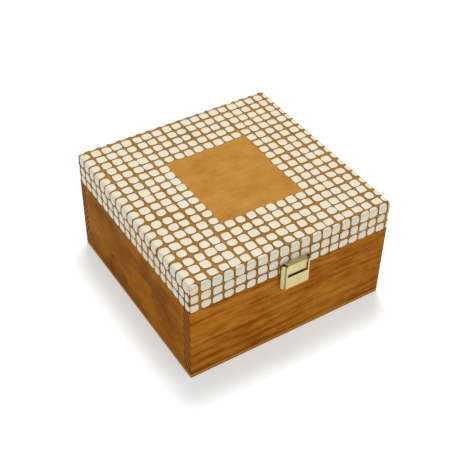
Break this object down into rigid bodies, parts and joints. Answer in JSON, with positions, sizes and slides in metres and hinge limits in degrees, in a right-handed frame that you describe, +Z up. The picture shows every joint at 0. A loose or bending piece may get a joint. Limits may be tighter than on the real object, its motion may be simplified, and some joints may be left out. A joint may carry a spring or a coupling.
{
  "type": "keepsake box",
  "caption": "Square wooden keepsake box with a hinged lid, a raised ivory mosaic round a plain wooden centre, and a brass snap clasp.",
  "frame": {"origin": "centre of the underside, on the surface that the box stands on", "axes": "+Z up through the lid, -Y out of the front with the clasp, +X to the right as seen from the front"},
  "size_m": [0.16, 0.1686, 0.0857],
  "materials": {
    "stained_wood": "stained pine, satin varnish, long darker grain bands",
    "lid_wood": "stained pine, satin varnish, fine mottled grain",
    "plywood": "stained plywood, satin",
    "tile_enamel": "hardened ivory enamel paste, eggshell, hand-made",
    "tile_outline": "dark brown stain that pools round each tile",
    "brass": "pale polished brass plate with fine wear",
    "brass_fasteners": "plain brass, lightly dulled"
  },
  "bodies": {
    "box": {"front_board": "stained_wood", "rear_board": "stained_wood", "left_board": "stained_wood", "right_board": "stained_wood", "bottom_panel": "plywood", "hinge_left_base_leaf": "brass", "hinge_right_base_leaf": "brass", "hinge_left_pin": "brass", "hinge_right_pin": "brass", "base_hinge_screws": "brass_fasteners", "clasp_strike": "brass", "clasp_strike_nails": "brass_fasteners"},
    "lid": {"lid_front_strip": "lid_wood", "lid_rear_strip": "lid_wood", "lid_left_strip": "lid_wood", "lid_right_strip": "lid_wood", "lid_top_panel": "lid_wood", "hinge_left_lid_leaf": "brass", "hinge_right_lid_leaf": "brass", "lid_hinge_screws": "brass_fasteners", "clasp_bracket": "brass", "clasp_bracket_nails": "brass_fasteners", "clasp_pivot_pin": "brass"},
    "clasp_flap": {"clasp_flap": "brass"}
  },
  "joints": [
    {"name": "lid_hinge", "type": "hinge", "parent": "box", "child": "lid", "pos_m": [0, 0.082, 0.0627], "axis": [-1, 0, 0], "range_deg": [0, 105]},
    {"name": "clasp_pivot", "type": "hinge", "parent": "lid", "child": "clasp_flap", "pos_m": [0, -0.08225, 0.0702], "axis": [-1, 0, 0], "range_deg": [0, 75]}
  ]
}
